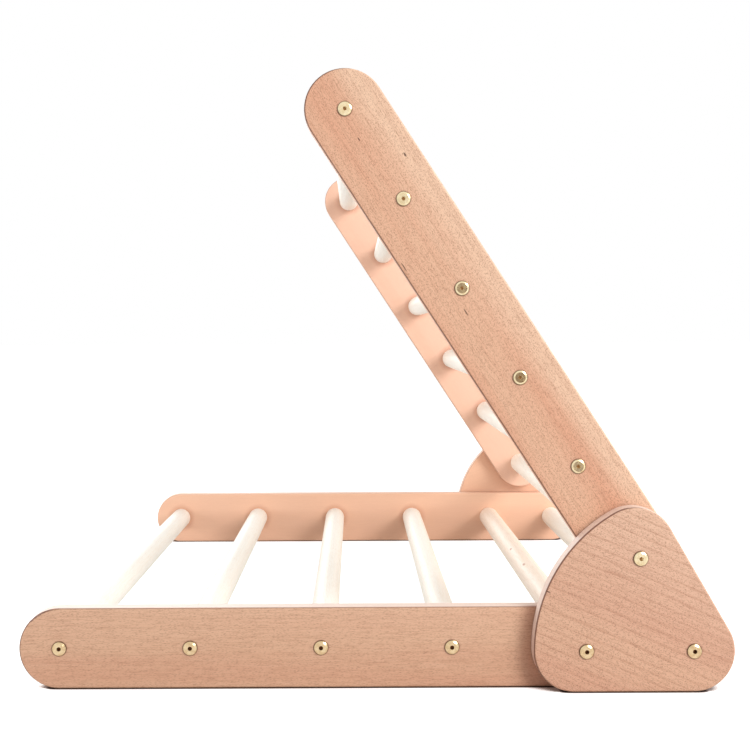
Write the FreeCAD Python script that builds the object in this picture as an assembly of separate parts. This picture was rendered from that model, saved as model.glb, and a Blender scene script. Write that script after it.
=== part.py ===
import FreeCAD, Part
import math
import os

# Folding climbing triangle: two ladder frames of beech, hinged at two side plates.
# The frame is +X towards the plates, +Y towards the left side, +Z up.  The origin is
# on the floor, in the middle of the part.  All sizes are in millimetres and degrees.

os.makedirs("parts", exist_ok=True)

# Frame sizes
inner_width = 760.0        # clear width between the two base rails
rail_width = 84.0          # height of a rail lying on the floor
rail_thickness = 18.0
edge_round = 2.0           # rounded long edges of rails and plates
base_pitch = 136.0         # rung to rung in the base frame
base_gap_count = 4         # gaps of that pitch, before the last one at the plate
climbing_pitch = 110.0     # rung to rung in the climbing frame
climbing_gap_count = 5
lean_angle = 57.0          # climbing frame above the floor, at rest

# Side plate: a rounded sector about its lower outer bolt
plate_thickness = 18.0
plate_pitch = 110.0        # corner bolt to each of the other two bolts
plate_angle = 60.0         # between the two rows of bolts that meet at the corner bolt
plate_reach = 164.0        # corner bolt to the plate's long curved side

# Rungs
rung_diameter = 32.0
rung_seat_depth = 7.0      # blind seat in each rail
rung_seat_clearance = 0.1  # round the rung, in its seat
rung_end_chamfer = 1.0

# Flat-head connector bolts with a hexagon socket
bolt_diameter = 6.0
bolt_head_diameter = 15.0
bolt_head_height = 2.2
bolt_head_bevel_width = 2.1
bolt_head_bevel_height = 1.2
bolt_tip_chamfer = 0.8
bolt_engagement = 12.0     # length of bolt inside the threaded insert
bolt_hole_clearance = 0.3  # round a bolt, in the wood
bolt_turn_step = 23.0      # each bolt stops at another angle when it is tightened
socket_width = 4.0         # across the flats
socket_depth = 3.0

# Threaded inserts in the rung ends
insert_diameter = 10.0
insert_length = 15.0
insert_collar_diameter = 12.5
insert_collar_height = 1.2
thread_clearance = 0.05    # round a bolt, in its insert
insert_hole_extra = 3.0    # hole in the rung, past the insert

# Flanged bush at each pivot
bush_wall = 1.6
bush_flange_diameter = 18.0
bush_flange_height = 0.8
hinge_gap = 1.0            # between a side plate and the climbing rail beside it
running_clearance = 0.05   # round the pivot bolt, in its bush
pivot_head_gap = 0.2       # between the pivot bolt's head and the plate

# Places worked out from the sizes above
rail_half = rail_width / 2
base_span = base_gap_count * base_pitch + plate_pitch
climbing_span = climbing_gap_count * climbing_pitch
corner_x = base_span / 2
pivot_x = corner_x - plate_pitch * math.cos(math.radians(plate_angle))
pivot_z = rail_half + plate_pitch * math.sin(math.radians(plate_angle))
base_inner = inner_width / 2
base_outer = base_inner + rail_thickness
plate_outer = base_outer + plate_thickness
climbing_outer = base_outer - hinge_gap
climbing_inner = climbing_outer - rail_thickness
web = rail_thickness - rung_seat_depth   # wood between a rung's end and the rail's outer face
bolt_radius = bolt_diameter / 2
rung_radius = rung_diameter / 2
bush_bore = bolt_radius + running_clearance
bush_radius = bush_bore + bush_wall

along_y = FreeCAD.Vector(0, 1, 0)
origin = FreeCAD.Vector(0, 0, 0)


def point(x, y, z):
    return FreeCAD.Vector(x, y, z)


def save(shape, node):
    shape.exportStep("parts/" + node + ".step")


def mirrored(shape):
    return shape.mirror(origin, along_y)


def save_pair(shape, node):
    """Save a piece of the left side, and its mirror image on the right side."""
    save(shape, node.replace("SIDE", "left"))
    save(mirrored(shape), node.replace("SIDE", "right"))


def on_circle(centre, radius, angle):
    turn = math.radians(angle)
    return point(centre.x + radius * math.cos(turn), centre.y, centre.z + radius * math.sin(turn))


def arc(centre, radius, first, last):
    """Arc in an upright plane across Y; angles count from +X towards +Z."""
    middle = (first + last) / 2
    ends = [on_circle(centre, radius, angle) for angle in (first, middle, last)]
    return Part.Arc(*ends).toShape()


def line(first, last):
    return Part.LineSegment(first, last).toShape()


def board(edges, thickness):
    """Board from an outline at its inner face, with its long edges rounded over."""
    face = Part.Face(Part.Wire(edges))
    solid = face.extrude(along_y * thickness)
    flat = [edge for edge in solid.Edges if edge.BoundBox.YLength < thickness / 2]
    return solid.makeFillet(edge_round, flat)


def hole(x, z, radius, start, length):
    return Part.makeCylinder(radius, length, point(x, start, z), along_y)


def rail(length, pitches, inner, first_x, first_z):
    """Rail from its first rung towards -X, seated on rungs at the given distances."""
    near = point(first_x, inner, first_z)
    far = point(first_x - length, inner, first_z)
    outline = [
        line(on_circle(near, rail_half, 90), on_circle(far, rail_half, 90)),
        arc(far, rail_half, 90, 270),
        line(on_circle(far, rail_half, 270), on_circle(near, rail_half, 270)),
        arc(near, rail_half, -90, 90),
    ]
    solid = board(outline, rail_thickness)
    for distance in pitches:
        x = first_x - distance
        seat = hole(x, first_z, rung_radius + rung_seat_clearance, inner, rung_seat_depth)
        passage = hole(x, first_z, bolt_radius + bolt_hole_clearance, inner, rail_thickness)
        solid = solid.cut(seat.fuse(passage))
    return solid


def side_plate():
    corner = point(corner_x, base_outer, rail_half)
    reach = plate_reach - rail_half
    top_angle = 180 - plate_angle
    lower = on_circle(corner, reach, 180)
    upper = on_circle(corner, reach, top_angle)
    outline = [
        line(on_circle(corner, rail_half, 270), on_circle(lower, rail_half, 270)),
        arc(lower, rail_half, 270, 180),
        arc(corner, plate_reach, 180, top_angle),
        arc(upper, rail_half, top_angle, top_angle - 90),
        line(on_circle(upper, rail_half, top_angle - 90), on_circle(corner, rail_half, top_angle - 90)),
        arc(corner, rail_half, top_angle - 90, -90),
    ]
    solid = board(outline, plate_thickness)
    for x in (corner_x, corner_x - plate_pitch):
        solid = solid.cut(hole(x, rail_half, bolt_radius + bolt_hole_clearance, base_outer, plate_thickness))
    return solid.cut(hole(pivot_x, pivot_z, bush_radius, base_outer, plate_thickness))


def turned(profile):
    """Solid turned about the Y axis, from (radius, y) points."""
    points = [point(radius, y, 0) for radius, y in profile]
    face = Part.Face(Part.makePolygon(points + points[:1]))
    return face.revolve(origin, along_y, 360)


def insert_pocket():
    """Stepped hole for an insert, from a rung's end face at y = 0 towards -Y."""
    barrel = hole(0, 0, insert_diameter / 2, -insert_length - insert_hole_extra, insert_length + insert_hole_extra)
    collar = hole(0, 0, insert_collar_diameter / 2, -insert_collar_height, insert_collar_height)
    return barrel.fuse(collar)


def rung(inner):
    """Rung on the Y axis, between rails whose inner faces are at +inner and -inner."""
    end = inner + rung_seat_depth
    solid = Part.makeCylinder(rung_radius, 2 * end, point(0, -end, 0), along_y)
    rims = [edge for edge in solid.Edges if edge.BoundBox.YLength < rung_end_chamfer]
    solid = solid.makeChamfer(rung_end_chamfer, rims)
    pocket = insert_pocket()
    pocket.translate(point(0, end, 0))
    return solid.cut(pocket.fuse(mirrored(pocket)))


def insert():
    """Threaded insert with its mouth at y = 0 and its barrel towards -Y."""
    bore = bolt_radius + thread_clearance
    return turned([
        (bore, 0),
        (insert_collar_diameter / 2, 0),
        (insert_collar_diameter / 2, -insert_collar_height),
        (insert_diameter / 2, -insert_collar_height),
        (insert_diameter / 2, -insert_length),
        (bore, -insert_length),
    ])


def bolt(length, turn):
    """Bolt with the underside of its head at y = 0 and its shank towards -Y."""
    solid = turned([
        (0, -length),
        (bolt_radius - bolt_tip_chamfer, -length),
        (bolt_radius, -length + bolt_tip_chamfer),
        (bolt_radius, 0),
        (bolt_head_diameter / 2, 0),
        (bolt_head_diameter / 2, bolt_head_height - bolt_head_bevel_height),
        (bolt_head_diameter / 2 - bolt_head_bevel_width, bolt_head_height),
        (0, bolt_head_height),
    ])
    centre = point(0, bolt_head_height - socket_depth, 0)
    corner_radius = socket_width / 2 / math.cos(math.radians(30))
    corners = [on_circle(centre, corner_radius, turn + 60 * step) for step in range(6)]
    face = Part.Face(Part.makePolygon(corners + corners[:1]))
    return solid.cut(face.extrude(along_y * socket_depth))


def bush():
    """Flanged bush at the pivot, pressed into the plate with its flange inside."""
    start = base_outer - bush_flange_height
    flange = hole(pivot_x, pivot_z, bush_flange_diameter / 2, start, bush_flange_height)
    sleeve = hole(pivot_x, pivot_z, bush_radius, base_outer, plate_thickness)
    bore = hole(pivot_x, pivot_z, bush_bore, start, bush_flange_height + plate_thickness)
    return flange.fuse(sleeve).cut(bore)


def placed(shape, x, y, z):
    copy = shape.copy()
    copy.translate(point(x, y, z))
    return copy


def leaned(shape):
    """Turn a piece of the climbing frame from lying flat to its rest angle."""
    copy = shape.copy()
    copy.rotate(point(pivot_x, 0, pivot_z), along_y, lean_angle)
    return copy


def base_frame():
    distances = [0] + [plate_pitch + base_pitch * gap for gap in range(base_gap_count + 1)]
    save_pair(rail(base_span, distances, base_inner, corner_x, rail_half), "base_rail_SIDE")
    short = web + bolt_engagement
    inserts = []
    for number, distance in enumerate(reversed(distances), start=1):
        x = corner_x - distance
        save(placed(rung(base_inner), x, 0, rail_half), "base_rung_%d" % number)
        inserts.append(placed(insert(), x, base_outer - web, rail_half))
        turn = bolt_turn_step * number
        if distance > plate_pitch:
            save_pair(placed(bolt(short, turn), x, base_outer, rail_half), "base_bolt_SIDE_%d" % number)
        else:
            long_bolt = bolt(plate_thickness + short, turn)
            save_pair(placed(long_bolt, x, plate_outer, rail_half), "plate_bolt_SIDE_%d" % number)
    save_pair(Part.Compound(inserts), "base_inserts_SIDE")


def climbing_frame():
    distances = [climbing_pitch * gap for gap in range(climbing_gap_count + 1)]
    flat_rail = rail(climbing_span, distances, climbing_inner, pivot_x, pivot_z)
    save_pair(leaned(flat_rail), "climbing_rail_SIDE")
    short = web + bolt_engagement
    inserts = []
    for number, distance in enumerate(distances, start=1):
        x = pivot_x - distance
        save(leaned(placed(rung(climbing_inner), x, 0, pivot_z)), "climbing_rung_%d" % number)
        inserts.append(leaned(placed(insert(), x, climbing_outer - web, pivot_z)))
        turn = bolt_turn_step * number
        if distance > 0:
            fixed_bolt = placed(bolt(short, turn), x, climbing_outer, pivot_z)
            save_pair(leaned(fixed_bolt), "climbing_bolt_SIDE_%d" % number)
        else:
            pivot_length = pivot_head_gap + plate_thickness + hinge_gap + short
            pivot_bolt = placed(bolt(pivot_length, turn), x, plate_outer + pivot_head_gap, pivot_z)
            save_pair(leaned(pivot_bolt), "pivot_bolt_SIDE")
    save_pair(Part.Compound(inserts), "climbing_inserts_SIDE")


base_frame()
save_pair(side_plate(), "side_plate_SIDE")
save_pair(bush(), "pivot_bush_SIDE")
climbing_frame()
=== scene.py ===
import bpy
import math
from mathutils import Matrix, Vector


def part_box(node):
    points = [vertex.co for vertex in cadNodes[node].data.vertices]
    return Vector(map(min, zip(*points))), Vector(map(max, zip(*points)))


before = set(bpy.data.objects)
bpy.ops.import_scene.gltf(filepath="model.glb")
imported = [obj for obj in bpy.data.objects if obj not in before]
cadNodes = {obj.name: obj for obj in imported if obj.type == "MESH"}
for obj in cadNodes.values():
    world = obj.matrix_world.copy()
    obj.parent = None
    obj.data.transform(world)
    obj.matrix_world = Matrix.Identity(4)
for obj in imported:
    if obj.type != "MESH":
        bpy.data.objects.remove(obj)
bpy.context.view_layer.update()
print("frame loaded:", len(cadNodes), "nodes")


def middleOf(node):
    low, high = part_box(node)
    return (low + high) / 2


def leanOfClimbingFrame():
    rise = middleOf("climbing_rung_6") - middleOf("climbing_rung_1")
    return math.atan2(rise.z, -rise.x)


# colours are written as on a paint chart, 0 to 255
def paint(red, green, blue):
    def linear(value):
        value = value / 255
        return value / 12.92 if value <= 0.04045 else ((value + 0.055) / 1.055) ** 2.4
    return (linear(red), linear(green), linear(blue), 1.0)


# small helpers that keep the node trees below readable
def newMaterial(name):
    material = bpy.data.materials.new(name)
    material.use_nodes = True
    tree = material.node_tree
    tree.nodes.clear()
    output = tree.nodes.new("ShaderNodeOutputMaterial")
    shader = tree.nodes.new("ShaderNodeBsdfPrincipled")
    tree.links.new(shader.outputs["BSDF"], output.inputs["Surface"])
    return material, tree, shader


def setInput(tree, socket, value):
    if isinstance(value, bpy.types.NodeSocket):
        tree.links.new(value, socket)
    else:
        socket.default_value = value


def math2(tree, operation, first, second=0.0):
    node = tree.nodes.new("ShaderNodeMath")
    node.operation = operation
    setInput(tree, node.inputs[0], first)
    setInput(tree, node.inputs[1], second)
    return node.outputs["Value"]


def times(tree, first, second):
    return math2(tree, "MULTIPLY", first, second)


def vector2(tree, operation, first, second):
    node = tree.nodes.new("ShaderNodeVectorMath")
    node.operation = operation
    setInput(tree, node.inputs[0], first)
    setInput(tree, node.inputs[1], second)
    return node.outputs["Vector"]


def lengthOf(tree, vector):
    node = tree.nodes.new("ShaderNodeVectorMath")
    node.operation = "LENGTH"
    tree.links.new(vector, node.inputs[0])
    return node.outputs["Value"]


def fromAxis(tree, point, spot=(0, 0, 0)):
    # distance from the line along Y through spot
    away = vector2(tree, "SUBTRACT", point, spot)
    return lengthOf(tree, vector2(tree, "MULTIPLY", away, (1, 0, 1)))


def stretched(tree, vector, scale, shift=(0, 0, 0)):
    mapping = tree.nodes.new("ShaderNodeMapping")
    mapping.inputs["Scale"].default_value = scale
    mapping.inputs["Location"].default_value = shift
    tree.links.new(vector, mapping.inputs["Vector"])
    return mapping.outputs["Vector"]


def noise(tree, vector, detail=2.0, rough=0.5, output="Fac"):
    node = tree.nodes.new("ShaderNodeTexNoise")
    node.inputs["Scale"].default_value = 1.0
    node.inputs["Detail"].default_value = detail
    node.inputs["Roughness"].default_value = rough
    tree.links.new(vector, node.inputs["Vector"])
    return node.outputs[output]


def spread(tree, value, low, high, toLow=0.0, toHigh=1.0, soft=True):
    node = tree.nodes.new("ShaderNodeMapRange")
    node.interpolation_type = "SMOOTHSTEP" if soft else "LINEAR"
    node.inputs["From Min"].default_value = low
    node.inputs["From Max"].default_value = high
    setInput(tree, node.inputs["To Min"], toLow)
    setInput(tree, node.inputs["To Max"], toHigh)
    tree.links.new(value, node.inputs["Value"])
    return node.outputs["Result"]


def mixed(tree, share, first, second):
    node = tree.nodes.new("ShaderNodeMix")
    node.data_type = "RGBA"
    sockets = [socket for socket in node.inputs if socket.type == "RGBA"]
    setInput(tree, node.inputs[0], share)
    setInput(tree, sockets[0], first)
    setInput(tree, sockets[1], second)
    return [socket for socket in node.outputs if socket.type == "RGBA"][0]


def separated(tree, vector):
    node = tree.nodes.new("ShaderNodeSeparateXYZ")
    tree.links.new(vector, node.inputs[0])
    return node.outputs


def placedPoint(tree, spot, turn):
    # position on the piece, measured from spot, with X along its grain
    coords = tree.nodes.new("ShaderNodeTexCoord")
    mapping = tree.nodes.new("ShaderNodeMapping")
    mapping.vector_type = "TEXTURE"
    mapping.inputs["Location"].default_value = spot
    mapping.inputs["Rotation"].default_value = turn
    tree.links.new(coords.outputs["Object"], mapping.inputs["Vector"])
    return mapping.outputs["Vector"]


def addBump(tree, shader, height, strength, distance):
    bump = tree.nodes.new("ShaderNodeBump")
    bump.inputs["Strength"].default_value = strength
    bump.inputs["Distance"].default_value = distance
    tree.links.new(height, bump.inputs["Height"])
    tree.links.new(bump.outputs["Normal"], shader.inputs["Normal"])


# a wood's colours and how strongly each feature shows; sizes are repeats per metre
# along, through and across the board
beech = {
    "tan": paint(220, 174, 142),
    "pink": paint(216, 164, 134),
    "pale": paint(235, 192, 161),
    "paleFrom": 0.0,                       # metres across the board
    "paleTo": 0.05,
    "paleShare": 0.5,
    "ringColour": paint(176, 120, 92),
    "ringPitch": 0.0075,
    "ringShare": 0.2,
    "fibreColour": paint(234, 196, 168),
    "fibreShare": 0.16,
    "poreColour": paint(124, 70, 44),
    "poreShare": 0.36,
    "poreSize": (620, 1350, 1350),
    "poreFrom": 0.56,
    "poreTo": 0.72,
    "spindleSize": (400, 1000, 1000),      # ray flecks, set close together
    "spindleShare": 0.54,
    "fleckColour": paint(150, 92, 62),
    "fleckShare": 0.3,
    "fleckSize": (55, 1500, 1500),
    "markColour": paint(70, 38, 22),
    "edgeColour": paint(252, 241, 234),    # narrow faces, painted paler as if lit from above
    "edgeShare": 0.55,
    "seatColour": paint(122, 72, 48),      # painted shade round each bolt head
    "seatShare": 0.75,
    "haloColour": paint(176, 104, 74),     # painted shade on the inner face round each rung
    "haloShare": 0.4,
    "seamColour": paint(150, 84, 54),      # painted shadow along the side plate's rounded edge
    "seamShare": 0.45,
    "burnColour": paint(112, 66, 46),      # painted shade on the eased edges
    "burnShare": 0.9,
    "roughness": 0.47,
    "bump": 0.06,
}

paleWood = {
    "tan": paint(254, 250, 241),
    "pink": paint(253, 246, 233),
    "pale": paint(254, 252, 245),
    "paleFrom": -0.02,
    "paleTo": 0.02,
    "paleShare": 0.5,
    "ringColour": paint(240, 222, 198),
    "ringPitch": 0.0034,
    "ringShare": 0.16,
    "fibreColour": paint(252, 245, 232),
    "fibreShare": 0.3,
    "poreColour": paint(226, 202, 174),
    "poreShare": 0.25,
    "poreSize": (480, 900, 900),
    "poreFrom": 0.54,
    "poreTo": 0.74,
    "spindleSize": (400, 1000, 1000),
    "spindleShare": 0.04,
    "fleckColour": paint(222, 194, 160),
    "fleckShare": 0.16,
    "fleckSize": (60, 1500, 1500),
    "markColour": paint(196, 140, 108),
    "roughness": 0.42,
    "bump": 0.06,
}

# the figure that all the wood shares; four numbers are a range and the values at its ends
figure = {
    "seedShift": (1.7, 0.9, 1.3),          # moves a pattern along by the board's seed
    "wanderSize": (5.0, 24, 24),           # the grain wanders a little across the board
    "wanderMiddle": (0.5, 0.5, 0.5),
    "wanderReach": 0.007,
    "bandSize": (1.6, 17, 26),             # broad bands of tan and pink
    "bandFrom": 0.34,
    "bandTo": 0.66,
    "driftSize": (2.2, 20, 20),            # how the paler side comes and goes
    "driftReach": 0.05,
    "taper": 0.05,                         # the rings change slowly along the trunk
    "ringWaveSize": (2.0, 26, 26),
    "ringWave": 2.0,
    "ringRise": (0.62, 0.93),              # a ring darkens slowly and ends sharply
    "ringBreakSize": (45, 260, 260),
    "ringBreak": (0.36, 0.6, 0.55, 1.0),
    "fibreSize": (22, 620, 620),
    "fibreFrom": 0.45,
    "fibreTo": 0.75,
    "spindleCore": 0.14,
    "spindleEdge": 0.42,
    "crowdSize": (9.0, 60, 60),            # dark lines are denser in some bands
    "crowdShare": 0.16,
    "fleckFrom": 0.58,
    "fleckTo": 0.74,
    "innerBlend": 0.004,
    "markThrough": 400,                    # a mark is only 2.5 mm deep
    "markFade": (0.5, 1.1, 0.85, 0.0),
    "sheenFrom": 0.2,
    "sheenTo": 0.8,
    "sheenSpan": (-0.05, 0.07),            # added to the wood's roughness
    "bumpDepth": 0.0004,
}

# painted light and shade on a board's edges and round its fittings; metres, or shares of a unit
# normal
boardLightAndShade = {
    "edgeFrom": 0.3,
    "edgeTo": 0.7,
    "edgeUpward": (-0.6, 0.3, 0.25, 1.0),  # painted light: narrow faces are palest where they face up
    "burnUpward": 0.4,
    "burnTurn": (0.05, 0.5),
    "burnOuter": (0.15, 0.4),
    "burnInner": (0.93, 0.995),
    "seatFrom": 0.0072,
    "seatTo": 0.0088,
    "haloFace": (-0.0088, -0.0082),
    "haloFrom": 0.015,
    "haloTo": 0.027,
    "seamReach": 0.02,
    "seamFace": (0.0, 0.005),
}


def ringLines(tree, grain, heart, pitch, shift):
    # growth rings round the heart of the trunk, which lies beside the board
    toHeart = stretched(tree, grain, (figure["taper"], 1, 1), (0, -heart[0], -heart[1]))
    rings = math2(tree, "DIVIDE", lengthOf(tree, toHeart), pitch)
    wave = noise(tree, stretched(tree, grain, figure["ringWaveSize"], shift))
    phase = math2(tree, "FRACT", math2(tree, "ADD", rings, times(tree, wave, figure["ringWave"])))
    start, end = figure["ringRise"]
    line = times(tree, spread(tree, phase, start, end), spread(tree, phase, end, 1.0, 1.0, 0.0))
    broken = noise(tree, stretched(tree, grain, figure["ringBreakSize"], shift))
    return times(tree, line, spread(tree, broken, *figure["ringBreak"]))


def edgeColours(tree, look, base):
    # painted light: narrow faces are painted paler than the wide ones
    coords = tree.nodes.new("ShaderNodeTexCoord")
    facing = separated(tree, coords.outputs["Normal"])
    wide = math2(tree, "ABSOLUTE", facing["Y"])
    upward = spread(tree, facing["Z"], *boardLightAndShade["edgeUpward"])
    edge = spread(tree, wide, boardLightAndShade["edgeFrom"], boardLightAndShade["edgeTo"],
                  look["edgeShare"], 0.0)
    base = mixed(tree, times(tree, edge, upward), base, look["edgeColour"])
    # painted shade: the eased edges are darkened on the side that faces -X, and a little on top
    edgeShade = math2(tree, "SUBTRACT", times(tree, facing["Z"], boardLightAndShade["burnUpward"]), facing["X"])
    edgeShade = times(tree, spread(tree, edgeShade, *boardLightAndShade["burnTurn"]),
                 spread(tree, wide, *boardLightAndShade["burnOuter"]))
    edgeShade = times(tree, edgeShade, spread(tree, wide, *boardLightAndShade["burnInner"], look["burnShare"], 0.0))
    return mixed(tree, edgeShade, base, look["burnColour"])


def fittingColours(tree, look, base, seats, faceSide):
    # painted shade: a darker ring round each bolt head
    coords = tree.nodes.new("ShaderNodeTexCoord")
    nearest = 1.0
    for seat in seats:
        nearest = math2(tree, "MINIMUM", fromAxis(tree, coords.outputs["Object"], seat), nearest)
    ring = spread(tree, nearest, boardLightAndShade["seatFrom"], boardLightAndShade["seatTo"],
                  look["seatShare"], 0.0)
    base = mixed(tree, ring, base, look["seatColour"])
    # painted shade: a soft dark ring on the inner face round each rung
    rungShade = times(tree, spread(tree, faceSide, *boardLightAndShade["haloFace"], look["haloShare"], 0.0),
                 spread(tree, nearest, boardLightAndShade["haloFrom"], boardLightAndShade["haloTo"], 1.0, 0.0))
    base = mixed(tree, rungShade, base, look["haloColour"])
    if "seam" in look:
        # painted shadow of the side plate on the outer face along its rounded edge
        middle, radius = look["seam"]
        away = fromAxis(tree, coords.outputs["Object"], middle)
        seam = spread(tree, away, radius, radius + boardLightAndShade["seamReach"], look["seamShare"], 0.0)
        seam = times(tree, seam, spread(tree, faceSide, *boardLightAndShade["seamFace"]))
        base = mixed(tree, seam, base, look["seamColour"])
    return base


def woodMaterial(name, look, spot, turn, heart, seed, marks=(), seats=(), outward=-1.0):
    material, tree, shader = newMaterial(name)
    shift = [seed * step for step in figure["seedShift"]]
    board = placedPoint(tree, spot, turn)
    wander = noise(tree, stretched(tree, board, figure["wanderSize"], shift), output="Color")
    wander = vector2(tree, "SUBTRACT", wander, figure["wanderMiddle"])
    wander = vector2(tree, "MULTIPLY", wander, (0.0, 0.0, figure["wanderReach"]))
    grain = vector2(tree, "ADD", board, wander)
    # broad bands of tan and pink, and paler wood towards one side
    bands = noise(tree, stretched(tree, grain, figure["bandSize"], shift))
    bands = spread(tree, bands, figure["bandFrom"], figure["bandTo"])
    base = mixed(tree, bands, look["tan"], look["pink"])
    place = separated(tree, grain)
    drift = noise(tree, stretched(tree, grain, figure["driftSize"], (seed, -seed, seed)))
    drift = times(tree, drift, figure["driftReach"])
    paleSide = math2(tree, "SUBTRACT", place["Z"], figure["driftReach"] / 2)
    paleSide = math2(tree, "ADD", paleSide, drift)
    paleSide = spread(tree, paleSide, look["paleFrom"], look["paleTo"], 0.0, look["paleShare"])
    base = mixed(tree, paleSide, base, look["pale"])
    rings = ringLines(tree, grain, heart, look["ringPitch"], shift)
    base = mixed(tree, times(tree, rings, look["ringShare"]), base, look["ringColour"])
    # fine pale fibres
    fibres = noise(tree, stretched(tree, grain, figure["fibreSize"], shift), detail=3.0, rough=0.6)
    pale = spread(tree, fibres, figure["fibreFrom"], figure["fibreTo"], 0.0, look["fibreShare"])
    base = mixed(tree, pale, base, look["fibreColour"])
    # pores, a close dark stipple
    pores = noise(tree, stretched(tree, grain, look["poreSize"], shift), detail=1.0, rough=0.6)
    pores = spread(tree, pores, look["poreFrom"], look["poreTo"], 0.0, look["poreShare"])
    base = mixed(tree, pores, base, look["poreColour"])
    # ray flecks, small dark spindles
    spindles = tree.nodes.new("ShaderNodeTexVoronoi")
    spindles.inputs["Scale"].default_value = 1.0
    tree.links.new(stretched(tree, grain, look["spindleSize"], shift), spindles.inputs["Vector"])
    spindles = spread(tree, spindles.outputs["Distance"], figure["spindleCore"],
                      figure["spindleEdge"], look["spindleShare"], 0.0)
    base = mixed(tree, spindles, base, look["poreColour"])
    # fine dark lines along the grain
    flecks = noise(tree, stretched(tree, grain, look["fleckSize"], shift), detail=1.0)
    crowd = noise(tree, stretched(tree, grain, figure["crowdSize"], shift))
    flecks = math2(tree, "ADD", flecks, times(tree, crowd, figure["crowdShare"]))
    flecks = spread(tree, flecks, figure["fleckFrom"], figure["fleckTo"])
    base = mixed(tree, times(tree, flecks, look["fleckShare"]), base, look["fleckColour"])
    if "innerTan" in look:
        # painted light: the inner face is painted lighter, for the light it lacks, and shows less
        # figure
        inner = mixed(tree, bands, look["innerTan"], look["innerPink"])
        calm = spread(tree, place["Y"], -figure["innerBlend"], figure["innerBlend"],
                      look["calmShare"], 0.0)
        base = mixed(tree, calm, base, inner)
    # single dark streaks: place along, through and across the board, then length and width
    for along, through, over, length, width in marks:
        streak = vector2(tree, "SUBTRACT", board, (along, through, over))
        streak = stretched(tree, streak, (2 / length, figure["markThrough"], 2 / width))
        streak = spread(tree, lengthOf(tree, streak), *figure["markFade"])
        base = mixed(tree, streak, base, look["markColour"])
    if seats:
        base = edgeColours(tree, look, base)
        base = fittingColours(tree, look, base, seats, times(tree, place["Y"], outward))
    tree.links.new(base, shader.inputs["Base Color"])
    satin, matt = [look["roughness"] + step for step in figure["sheenSpan"]]
    sheen = spread(tree, fibres, figure["sheenFrom"], figure["sheenTo"], satin, matt)
    tree.links.new(sheen, shader.inputs["Roughness"])
    relief = math2(tree, "SUBTRACT", fibres, flecks)
    addBump(tree, shader, relief, look["bump"], figure["bumpDepth"])
    return material


def dress(node, material):
    cadNodes[node].data.materials.clear()
    cadNodes[node].data.materials.append(material)


# the left boards are plainer than the right ones
plainBeech = {
    "tan": paint(227, 183, 154),
    "pink": paint(223, 175, 146),
    "pale": paint(233, 193, 166),
    "edgeShare": 0.1,
    "ringShare": 0.16,
    "poreShare": 0.24,
    "spindleShare": 0.3,
    "fleckShare": 0.3,
    # the inner face is painted lighter, for the light it lacks
    "innerTan": paint(246, 198, 168),
    "innerPink": paint(242, 192, 162),
    "calmShare": 0.85,
    "burnShare": 0.25,
}

boards = {
    "base_rail_left": {"turn": 0.0, "heart": (0.05, -0.11), "seed": 3.1, "look": plainBeech},
    "base_rail_right": {
        "turn": 0.0, "heart": (0.06, 0.10), "seed": 5.7,
        "look": {"paleFrom": -0.03, "paleTo": 0.05, "poreShare": 0.24,
                 "spindleSize": (230, 1050, 1050), "spindleShare": 0.36, "fleckShare": 0.24,
                 "fleckSize": (80, 1500, 1500), "ringShare": 0.14},
    },
    "climbing_rail_left": {
        "turn": "lean", "heart": (0.06, -0.10), "seed": 8.2,
        "look": {**plainBeech, "innerTan": paint(243, 197, 172), "innerPink": paint(239, 191, 165)},
    },
    "climbing_rail_right": {
        "turn": "lean", "heart": (0.07, 0.13), "seed": 11.9,
        "look": {"tan": paint(231, 183, 151), "pink": paint(226, 168, 136),
                 "pale": paint(245, 208, 177), "paleFrom": 0.0, "paleTo": 0.03, "paleShare": 0.75,
                 "ringShare": 0.14, "edgeShare": 0.15, "fleckShare": 0.22,
                 "poreColour": paint(136, 78, 50), "burnColour": paint(96, 52, 36)},
        "marks": [(-0.202, -0.009, 0.026, 0.006, 0.0024), (-0.032, -0.009, -0.010, 0.010, 0.0015),
                  (-0.106, -0.009, -0.038, 0.012, 0.0013), (-0.241, -0.009, -0.005, 0.005, 0.0015)],
    },
    "side_plate_left": {
        "turn": math.radians(-21), "heart": (0.03, 0.16), "seed": 14.3,
        "look": {**plainBeech, "innerTan": paint(242, 196, 166), "innerPink": paint(238, 190, 159)},
    },
    "side_plate_right": {
        "turn": math.radians(24), "heart": (0.03, 0.17), "seed": 17.6,
        "look": {"tan": paint(223, 177, 147), "pink": paint(217, 166, 138),
                 "pale": paint(235, 194, 166), "paleFrom": -0.06, "paleTo": 0.08, "paleShare": 0.7,
                 "ringShare": 0.36, "ringPitch": 0.009, "fleckShare": 0.2, "edgeShare": 0.45},
        "marks": [(-0.0844, -0.009, -0.0278, 0.006, 0.0015)],
    },
}


def plateOutline(side):
    # the plate's rounded edge is an arc round its outer lower bolt
    bolt = middleOf("plate_bolt_%s_6" % side)
    low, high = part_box("side_plate_" + side)
    return bolt, bolt.x - low.x


# first and last number of the bolts that go through a rail alone
railBolts = {"base": (1, 4), "climbing": (2, 6)}


def boltsThrough(board):
    # middles of the bolt heads that sit on this board
    frameName, kind, side = board.split("_")
    if kind == "plate":
        names = ["plate_bolt_%s_5", "plate_bolt_%s_6", "pivot_bolt_%s"]
    else:
        first, last = railBolts[frameName]
        names = [frameName + "_bolt_%s_" + str(number) for number in range(first, last + 1)]
    return [middleOf(name % side) for name in names]


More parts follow.
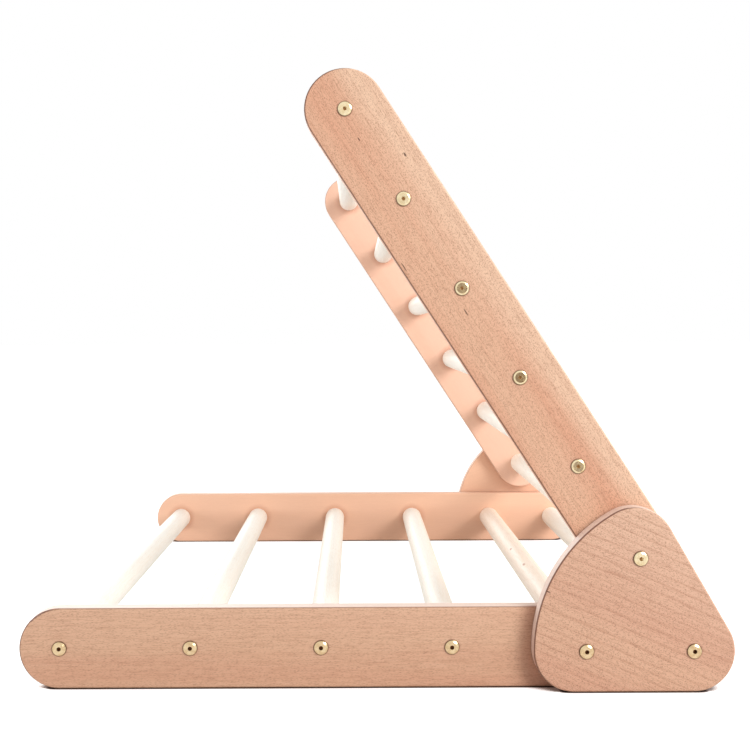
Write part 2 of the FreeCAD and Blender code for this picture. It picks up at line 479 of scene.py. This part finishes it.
for node, values in boards.items():
    turn = leanOfClimbingFrame() if values["turn"] == "lean" else values["turn"]
    look = {**beech, **values["look"]}
    # the base rails get a painted shadow along the side plate's outline
    if node.startswith("base_rail"):
        look["seam"] = plateOutline(node.split("_")[2])
    wood = woodMaterial("beech_" + node, look, middleOf(node), (0, turn, 0), values["heart"],
                        values["seed"], values.get("marks", ()), boltsThrough(node),
                        1.0 if node.endswith("left") else -1.0)
    dress(node, wood)
print("boards dressed")

# one rung is given warmer, darker colours
rungLooks = {
    "base_rung_5": {"tan": paint(254, 239, 224), "pink": paint(251, 230, 212),
                    "pale": paint(254, 242, 230), "ringShare": 0.4, "fleckShare": 0.3},
}

# and it has two small dark specks, placed along, through and across it
rungMarks = {
    "base_rung_5": [(0.040, 0.0108, 0.0118, 0.011, 0.0045),
                    (-0.068, 0.0090, 0.0132, 0.013, 0.0040)],
}

rungs = {
    "families": {"base_rung_": 21.0, "climbing_rung_": 43.0},    # each with its first seed
    "count": 6,
    "seedStep": 2.3,
    "heartAway": 0.05,
    "turn": (0, 0, math.radians(90)),
}

for family, first in rungs["families"].items():
    for number in range(1, rungs["count"] + 1):
        node = family + str(number)
        seed = first + rungs["seedStep"] * number
        heart = (rungs["heartAway"] * math.cos(seed), rungs["heartAway"] * math.sin(seed))
        look = {**paleWood, **rungLooks.get(node, {})}
        dress(node, woodMaterial("pale_" + node, look, middleOf(node), rungs["turn"], heart, seed,
                                 rungMarks.get(node, ())))
print("rungs dressed")


brass = {
    # the base frame's heads are a little duller than the climbing frame's
    "dull": {"colour": paint(232, 207, 166), "shade": paint(214, 184, 140),
             "socket": paint(112, 70, 44), "socketRadius": 0.002},
    "bright": {"colour": paint(247, 229, 190), "shade": paint(236, 213, 168),
               "socket": paint(182, 140, 98), "socketRadius": 0.0016},
    "socketFade": 0.0004,
    "socketRoughness": 0.4,
    "rimColour": paint(88, 56, 30),        # tarnish and painted shade where the head meets the wood
    "rimFrom": 0.0067,
    "rimTo": 0.0074,
    "rimShare": 0.85,
    "cloudSize": (260, 260, 260),
    "cloudBand": (0.35, 0.7),
    "roughness": 0.2,
    "finishBand": (0.3, 0.7),
    "finishSpan": (-0.03, 0.08),           # added to the roughness
    "lathePitch": 0.00035,
    "latheScale": 0.314,                   # a wave texture of scale 1 has rings this far apart
    "bump": 0.06,
    "bumpDepth": 0.00005,
}


def brassMaterial(name, spot, seed, tone):
    material, tree, shader = newMaterial(name)
    local = placedPoint(tree, spot, (0, 0, 0))
    # turning marks round the bolt's own axis
    lathe = tree.nodes.new("ShaderNodeTexWave")
    lathe.wave_type = "RINGS"
    lathe.rings_direction = "Y"
    lathe.wave_profile = "SIN"
    lathe.inputs["Scale"].default_value = brass["latheScale"] / brass["lathePitch"]
    tree.links.new(local, lathe.inputs["Vector"])
    cloud = noise(tree, stretched(tree, local, brass["cloudSize"], (seed, 0, seed)), detail=3.0)
    base = mixed(tree, spread(tree, cloud, *brass["cloudBand"]), tone["colour"], tone["shade"])
    # tarnish and painted shade round the rim of the head
    away = fromAxis(tree, local)
    rim = spread(tree, away, brass["rimFrom"], brass["rimTo"], 0.0, brass["rimShare"])
    base = mixed(tree, rim, base, brass["rimColour"])
    # painted shade in the hex socket; the climbing frame's sockets are painted lighter, for their
    # lit inner wall
    socketEnd = tone["socketRadius"] + brass["socketFade"]
    socket = spread(tree, away, tone["socketRadius"], socketEnd, 1.0, 0.0)
    base = mixed(tree, socket, base, tone["socket"])
    tree.links.new(base, shader.inputs["Base Color"])
    shader.inputs["Metallic"].default_value = 1.0
    polished, worn = [brass["roughness"] + step for step in brass["finishSpan"]]
    finish = spread(tree, cloud, *brass["finishBand"], polished, worn)
    finish = math2(tree, "ADD", finish, times(tree, socket, brass["socketRoughness"]))
    tree.links.new(finish, shader.inputs["Roughness"])
    addBump(tree, shader, lathe.outputs["Fac"], brass["bump"], brass["bumpDepth"])
    return material


nylon = {
    "colour": paint(236, 234, 224),
    "shade": paint(220, 216, 202),
    "cloudSize": (180, 180, 180),
    "roughness": 0.45,
}


def nylonMaterial(name):
    material, tree, shader = newMaterial(name)
    coords = tree.nodes.new("ShaderNodeTexCoord")
    cloud = noise(tree, stretched(tree, coords.outputs["Object"], nylon["cloudSize"]))
    tree.links.new(mixed(tree, cloud, nylon["colour"], nylon["shade"]), shader.inputs["Base Color"])
    shader.inputs["Roughness"].default_value = nylon["roughness"]
    return material


hardware = {"boltSeedStep": 0.61, "insertSeed": 9.0}

for count, node in enumerate(sorted(node for node in cadNodes if "_bolt_" in node)):
    tone = brass["dull"] if node.startswith(("base", "plate")) else brass["bright"]
    seed = count * hardware["boltSeedStep"]
    dress(node, brassMaterial("brass_" + node, middleOf(node), seed, tone))
for node in sorted(node for node in cadNodes if "_inserts_" in node):
    dress(node, brassMaterial("insert_brass_" + node, middleOf(node), hardware["insertSeed"],
                              brass["dull"]))
for side in ("left", "right"):
    dress("pivot_bush_" + side, nylonMaterial("nylon_" + side))
print("hardware dressed")


studio = {
    "white": (1, 1, 1, 1),
    "floorSize": 60.0,
    "floorDrop": 0.0003,                   # keeps the floor clear of the rails' undersides
    "floorColour": paint(210, 210, 210),
    "floorGlow": 0.7,
    "mirroredGlow": 0.36,
    "contactReach": 0.003,
    "contactPower": 3.0,
    "contactColour": paint(218, 154, 124),
    "contactDark": (0.02, 0.01, 0.01, 1),
    "pocketReach": 0.03,
    "pocketFade": (0.22, 0.46, 0.2, 1.0),
    "worldLight": 0.57,
    "cardSpot": (0.32, -1.52, 0.278),      # a dark card that only the brass mirrors
    "cardRadius": 0.34,
    "cardCorners": 48,
    "cardColour": paint(140, 120, 104),
}


def clearedTree(block):
    block.use_nodes = True
    block.node_tree.nodes.clear()
    return block.node_tree


def cornerShade(tree, reach):
    node = tree.nodes.new("ShaderNodeAmbientOcclusion")
    node.inputs["Distance"].default_value = reach
    return node.outputs["AO"]


def makeFloor():
    bpy.ops.object.select_all(action="DESELECT")
    bpy.ops.mesh.primitive_plane_add(size=studio["floorSize"],
                                     location=(0, 0, -studio["floorDrop"]))
    floor = bpy.context.object
    floor.name = "studio_floor"
    material = bpy.data.materials.new("floor_white")
    tree = clearedTree(material)
    output = tree.nodes.new("ShaderNodeOutputMaterial")
    matt = tree.nodes.new("ShaderNodeBsdfDiffuse")
    glow = tree.nodes.new("ShaderNodeEmission")
    path = tree.nodes.new("ShaderNodeLightPath").outputs
    # white for the camera, and for what the brass mirrors
    mirrored = math2(tree, "MAXIMUM", path["Is Glossy Ray"], path["Is Transmission Ray"])
    seen = math2(tree, "ADD", times(tree, path["Is Camera Ray"], studio["floorGlow"]),
                 times(tree, mirrored, studio["mirroredGlow"]))
    # painted shadow: the floor's glow and colour darken where the object touches it, and in the
    # pockets under rounded corners
    touch = math2(tree, "POWER", cornerShade(tree, studio["contactReach"]), studio["contactPower"])
    pocket = cornerShade(tree, studio["pocketReach"])
    touch = times(tree, touch, spread(tree, pocket, *studio["pocketFade"]))
    tree.links.new(times(tree, seen, touch), glow.inputs["Strength"])
    tree.links.new(mixed(tree, touch, studio["contactColour"], studio["white"]),
                   glow.inputs["Color"])
    tree.links.new(mixed(tree, touch, studio["contactDark"], studio["floorColour"]),
                   matt.inputs["Color"])
    both = tree.nodes.new("ShaderNodeAddShader")
    tree.links.new(matt.outputs["BSDF"], both.inputs[0])
    tree.links.new(glow.outputs["Emission"], both.inputs[1])
    tree.links.new(both.outputs["Shader"], output.inputs["Surface"])
    floor.data.materials.append(material)


def makeWorld():
    world = bpy.data.worlds.new("studio_world")
    bpy.context.scene.world = world
    tree = clearedTree(world)
    output = tree.nodes.new("ShaderNodeOutputWorld")
    shade = tree.nodes.new("ShaderNodeBackground")
    shade.inputs["Color"].default_value = studio["white"]
    # full white for rays that show the background, less for those that light the object
    path = tree.nodes.new("ShaderNodeLightPath").outputs
    seen = math2(tree, "MAXIMUM", path["Is Camera Ray"], path["Is Glossy Ray"])
    seen = math2(tree, "MAXIMUM", seen, path["Is Transmission Ray"])
    strength = spread(tree, seen, 0.0, 1.0, studio["worldLight"], 1.0, soft=False)
    tree.links.new(strength, shade.inputs["Strength"])
    tree.links.new(shade.outputs["Background"], output.inputs["Surface"])


def makeCard():
    bpy.ops.object.select_all(action="DESELECT")
    bpy.ops.mesh.primitive_circle_add(
        vertices=studio["cardCorners"], radius=studio["cardRadius"], fill_type="NGON",
        location=studio["cardSpot"], rotation=(math.radians(90), 0, 0))
    card = bpy.context.object
    card.name = "studio_card"
    card.visible_camera = False
    card.visible_diffuse = False
    card.visible_transmission = False
    card.visible_shadow = False
    material = bpy.data.materials.new("card_dark")
    tree = clearedTree(material)
    output = tree.nodes.new("ShaderNodeOutputMaterial")
    shade = tree.nodes.new("ShaderNodeEmission")
    shade.inputs["Color"].default_value = studio["cardColour"]
    tree.links.new(shade.outputs["Emission"], output.inputs["Surface"])
    card.data.materials.append(material)


lamps = {
    "key_lamp": {"spot": (2.7, -2.9, 2.3), "aim": (0.0, 0.0, 0.25), "size": 1.9, "power": 122.0},
    "back_lamp": {"spot": (-1.4, 3.2, 1.6), "aim": (0.0, 0.0, 0.25), "size": 2.2, "power": 39.0},
    "left_lamp": {"spot": (-1.6, -0.15, 0.22), "aim": (0.1, 0.2, 0.35), "size": 0.8, "power": 13.0},
    "right_lamp": {"spot": (1.3, -0.2, 0.55), "aim": (0.1, 0.38, 0.1), "size": 0.7, "power": 4.8},
}


def makeLamp(name, values):
    data = bpy.data.lights.new(name, "AREA")
    data.shape = "SQUARE"
    data.size = values["size"]
    data.energy = values["power"]
    lamp = bpy.data.objects.new(name, data)
    bpy.context.scene.collection.objects.link(lamp)
    lamp.location = values["spot"]
    aim = Vector(values["aim"]) - Vector(values["spot"])
    lamp.rotation_euler = aim.to_track_quat("-Z", "Y").to_euler()


view = {
    "spot": (-0.0185, -1.4955, 0.3699),
    "yaw": -0.075,                         # degrees, towards +X
    "pitch": 1.490,                        # degrees, down
    "roll": -0.275,
    "sensor": 36.0,
    "lens": 51.10,
    "shift": (0.0288, -0.0209),
}


def makeCamera():
    data = bpy.data.cameras.new("camera")
    data.sensor_width = view["sensor"]
    data.lens = view["lens"]
    data.shift_x, data.shift_y = view["shift"]
    camera = bpy.data.objects.new("camera", data)
    bpy.context.scene.collection.objects.link(camera)
    camera.location = view["spot"]
    turn = Matrix.Rotation(math.radians(-view["yaw"]), 3, "Z")
    turn = turn @ Matrix.Rotation(math.radians(90 - view["pitch"]), 3, "X")
    turn = turn @ Matrix.Rotation(math.radians(view["roll"]), 3, "Z")
    camera.rotation_euler = turn.to_euler()
    bpy.context.scene.camera = camera


makeFloor()
makeWorld()
makeCard()
for name, values in lamps.items():
    makeLamp(name, values)
makeCamera()
bpy.context.scene.view_settings.view_transform = "Standard"
print("studio ready")
